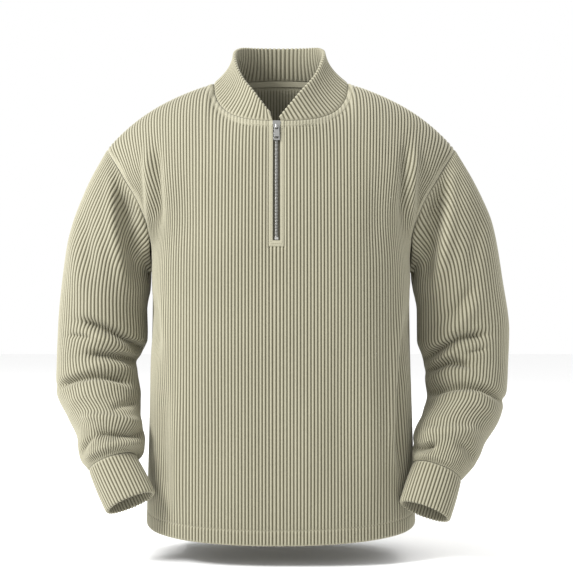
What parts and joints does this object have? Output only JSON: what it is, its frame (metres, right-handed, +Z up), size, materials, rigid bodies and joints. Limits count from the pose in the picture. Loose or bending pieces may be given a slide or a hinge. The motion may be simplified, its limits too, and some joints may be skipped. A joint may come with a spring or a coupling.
{
  "type": "quarter-zip pullover",
  "caption": "Hollow worn form of a long-sleeved rib-knit pullover with a stand collar, a short front zip with a hinged pull tab, ribbed cuffs and open neck, hem and wrists.",
  "frame": {"origin": "midway between the two high points of the shoulders, where the neckline meets the shoulder seams", "axes": "+Z up, -Y to the front of the garment, +X to the right in a view of its front"},
  "size_m": [0.6991, 0.2832, 0.7531],
  "materials": {
    "front_rib_knit": "soft matt rib knit with a short nap",
    "back_rib_knit": "soft matt rib knit with a short nap",
    "sleeve_rib_knit": "soft matt rib knit with a short nap",
    "cuff_rib_knit": "soft matt rib knit, doubled",
    "collar_rib_knit": "soft matt rib knit, doubled",
    "neck_tape_twill": "flat twill tape",
    "zip_tape_cloth": "woven tape",
    "zip_teeth_metal": "grey, slightly aged",
    "zip_slider_metal": "polished nickel",
    "zip_pull_metal": "polished nickel"
  },
  "bodies": {
    "garment": {"front_panel": "front_rib_knit", "back_panel": "back_rib_knit", "sleeve_left": "sleeve_rib_knit", "sleeve_right": "sleeve_rib_knit", "cuff_left": "cuff_rib_knit", "cuff_right": "cuff_rib_knit", "collar": "collar_rib_knit", "neck_tape": "neck_tape_twill", "zip_tape_left": "zip_tape_cloth", "zip_tape_right": "zip_tape_cloth", "zip_chain": "zip_teeth_metal", "zip_stop": "zip_teeth_metal", "zip_slider": "zip_slider_metal"},
    "pull_tab": {"zip_pull": "zip_pull_metal"}
  },
  "joints": [
    {"name": "pull_hinge", "type": "hinge", "parent": "garment", "child": "pull_tab", "pos_m": [-0.006, -0.10252, -0.07616], "axis": [-1, 0, 0], "range_deg": [0, 130]}
  ]
}
